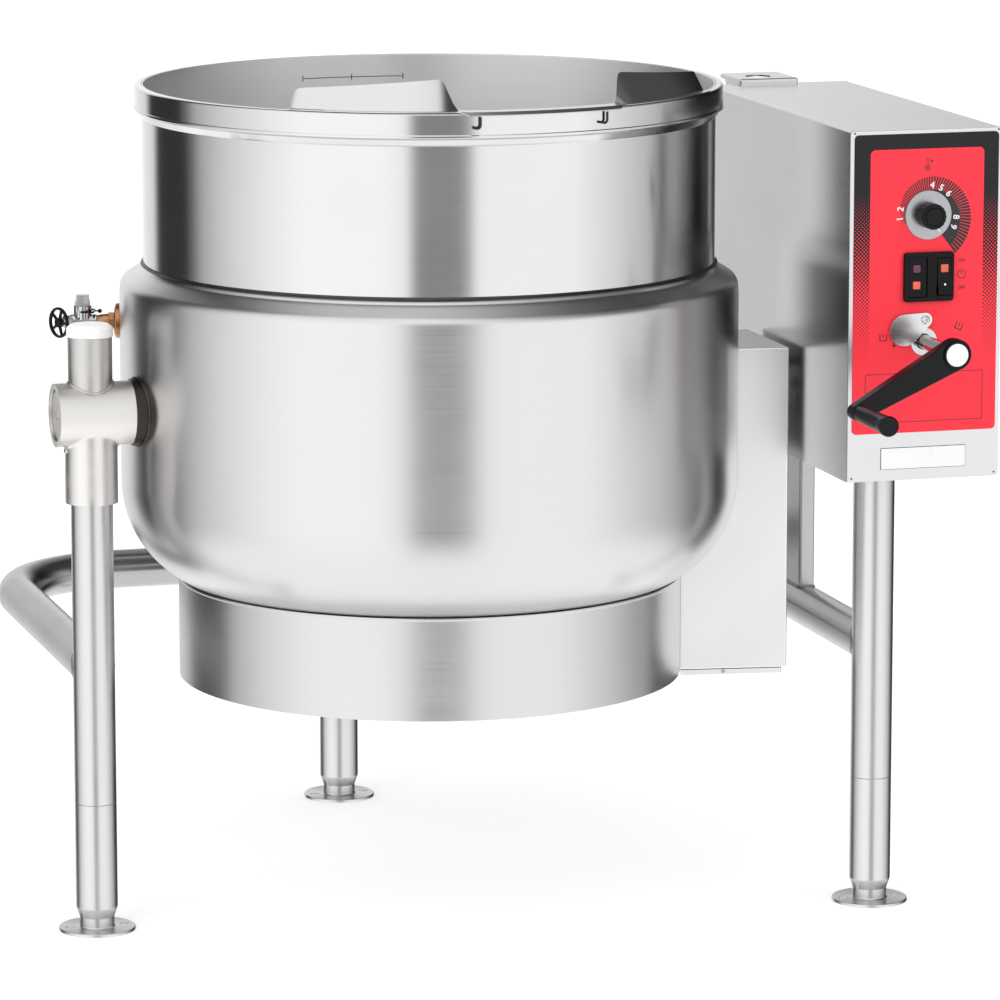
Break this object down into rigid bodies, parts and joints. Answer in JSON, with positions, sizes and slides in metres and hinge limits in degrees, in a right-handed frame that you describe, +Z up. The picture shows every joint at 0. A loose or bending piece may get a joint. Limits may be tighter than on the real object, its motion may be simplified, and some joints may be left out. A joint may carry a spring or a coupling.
{
  "type": "steam jacketed kettle",
  "caption": "Floor standing steam jacketed kettle on a tubular frame, tilted by a crank and worm gear beside its control console.",
  "frame": {"origin": "on the floor, under the middle of the outer box", "axes": "+Z up, -Y towards the operator who stands at the console's face, +X towards the console"},
  "size_m": [1.0545, 1.0811, 1.0043],
  "materials": {
    "inner_vessel": "brushed",
    "rim_band": "brushed",
    "steam_jacket": "brushed",
    "bottom_skirt": "brushed",
    "skirt_cover": "brushed",
    "trunnion_left": "satin",
    "trunnion_right": "cast and machined",
    "wiring_cover": "brushed",
    "cover_pan": "brushed",
    "brass_fitting": "machined",
    "relief_valve": "polished",
    "valve_cap": "polished",
    "worm_wheel": "machined bronze",
    "pour_lip": "brushed",
    "lip_hook_left": "brushed",
    "lip_hook_right": "brushed",
    "vent_wheel": "moulded",
    "valve_lever": "moulded",
    "frame_rail": "brushed",
    "leg_left": "brushed",
    "leg_right": "brushed",
    "leg_rear": "brushed",
    "rear_post": "brushed",
    "bearing_housing": "cast and machined",
    "left_bush": "machined bronze",
    "bearing_end_cap": "cast and machined",
    "post_top": "brushed",
    "post_cap": "moulded",
    "console_housing": "brushed",
    "console_base": "brushed",
    "console_back": "brushed",
    "spout_bracket": "brushed",
    "front_panel": "brushed",
    "control_overlay": "printed film",
    "switch_bezel": "moulded",
    "lamp_window": "moulded",
    "lamp_upper": "lens",
    "lamp_lower": "lens",
    "thermostat_body": "satin",
    "flap_screw": "polished",
    "trunnion_block": "cast and machined",
    "shaft_bushing": "polished",
    "shaft_stand": "cast and machined",
    "worm_shaft": "satin",
    "crank_arm": "moulded",
    "crank_cap": "moulded",
    "crank_grip": "moulded",
    "knob_dial": "polished",
    "thermostat_knob": "moulded",
    "power_rocker": "moulded",
    "shaft_flap": "polished",
    "foot_left": "brushed",
    "foot_right": "brushed",
    "foot_rear": "brushed"
  },
  "bodies": {
    "frame": {"frame_rail": "frame_rail", "leg_left": "leg_left", "leg_right": "leg_right", "leg_rear": "leg_rear", "rear_post": "rear_post", "bearing_housing": "bearing_housing", "left_bush": "left_bush", "bearing_end_cap": "bearing_end_cap", "post_top": "post_top", "post_cap": "post_cap", "console_housing": "console_housing", "console_base": "console_base", "console_back": "console_back", "spout_bracket": "spout_bracket", "front_panel": "front_panel", "control_overlay": "control_overlay", "switch_bezel": "switch_bezel", "lamp_window": "lamp_window", "lamp_upper": "lamp_upper", "lamp_lower": "lamp_lower", "thermostat_body": "thermostat_body", "flap_screw": "flap_screw", "trunnion_block": "trunnion_block", "shaft_bushing": "shaft_bushing", "shaft_stand": "shaft_stand"},
    "kettle": {"inner_vessel": "inner_vessel", "rim_band": "rim_band", "steam_jacket": "steam_jacket", "bottom_skirt": "bottom_skirt", "skirt_cover": "skirt_cover", "trunnion_left": "trunnion_left", "trunnion_right": "trunnion_right", "wiring_cover": "wiring_cover", "cover_pan": "cover_pan", "brass_fitting": "brass_fitting", "relief_valve": "relief_valve", "valve_cap": "valve_cap", "worm_wheel": "worm_wheel"},
    "lip": {"pour_lip": "pour_lip", "lip_hook_left": "lip_hook_left", "lip_hook_right": "lip_hook_right"},
    "vent": {"vent_wheel": "vent_wheel"},
    "lever": {"valve_lever": "valve_lever"},
    "crank": {"worm_shaft": "worm_shaft", "crank_arm": "crank_arm", "crank_cap": "crank_cap"},
    "grip": {"crank_grip": "crank_grip"},
    "knob": {"thermostat_knob": "thermostat_knob", "knob_dial": "knob_dial"},
    "rocker": {"power_rocker": "power_rocker"},
    "flap": {"shaft_flap": "shaft_flap"},
    "foot_l": {"foot_left": "foot_left"},
    "foot_r": {"foot_right": "foot_right"},
    "foot_b": {"foot_rear": "foot_rear"}
  },
  "joints": [
    {"name": "tilt", "type": "hinge", "parent": "frame", "child": "kettle", "pos_m": [-0.0705, -0.0851, 0.605], "axis": [1, 0, 0], "range_deg": [0, 95]},
    {"name": "lip_lift", "type": "slide", "parent": "kettle", "child": "lip", "axis": [0, 0, 1], "range_m": [0, 0.08]},
    {"name": "vent_turn", "type": "hinge", "parent": "kettle", "child": "vent", "pos_m": [-0.46673, 0.07052, 0.69], "axis": [-0.9063, -0.4226, 0], "range_deg": [0, 720]},
    {"name": "lever_lift", "type": "hinge", "parent": "kettle", "child": "lever", "pos_m": [-0.45856, 0.06817, 0.7015], "axis": [-0.2756, -0.9613, 0], "range_deg": [0, 20]},
    {"name": "crank_turn", "type": "hinge", "parent": "frame", "child": "crank", "pos_m": [0.4344, -0.4431, 0.6865], "axis": [0, 1, 0], "range_deg": [-10, 3810]},
    {"name": "grip_spin", "type": "hinge", "parent": "crank", "child": "grip", "pos_m": [0.31962, -0.4431, 0.62547], "axis": [0, 1, 0], "continuous": true},
    {"name": "knob_turn", "type": "hinge", "parent": "frame", "child": "knob", "pos_m": [0.4374, -0.336, 0.832], "axis": [0, 1, 0], "range_deg": [0, 270]},
    {"name": "rocker_press", "type": "hinge", "parent": "frame", "child": "rocker", "pos_m": [0.4563, -0.337, 0.7614], "axis": [1, 0, 0], "range_deg": [0, 12]},
    {"name": "flap_swing", "type": "hinge", "parent": "frame", "child": "flap", "pos_m": [0.4349, -0.336, 0.712], "axis": [0, 1, 0], "range_deg": [0, 25]},
    {"name": "foot_left_screw", "type": "slide", "parent": "frame", "child": "foot_l", "axis": [0, 0, 1], "range_m": [-0.025, 0]},
    {"name": "foot_right_screw", "type": "slide", "parent": "frame", "child": "foot_r", "axis": [0, 0, 1], "range_m": [-0.025, 0]},
    {"name": "foot_rear_screw", "type": "slide", "parent": "frame", "child": "foot_b", "axis": [0, 0, 1], "range_m": [-0.025, 0]}
  ],
  "couplings": [
    {"joint": "crank_turn", "follows": "tilt", "ratio": 40}
  ]
}
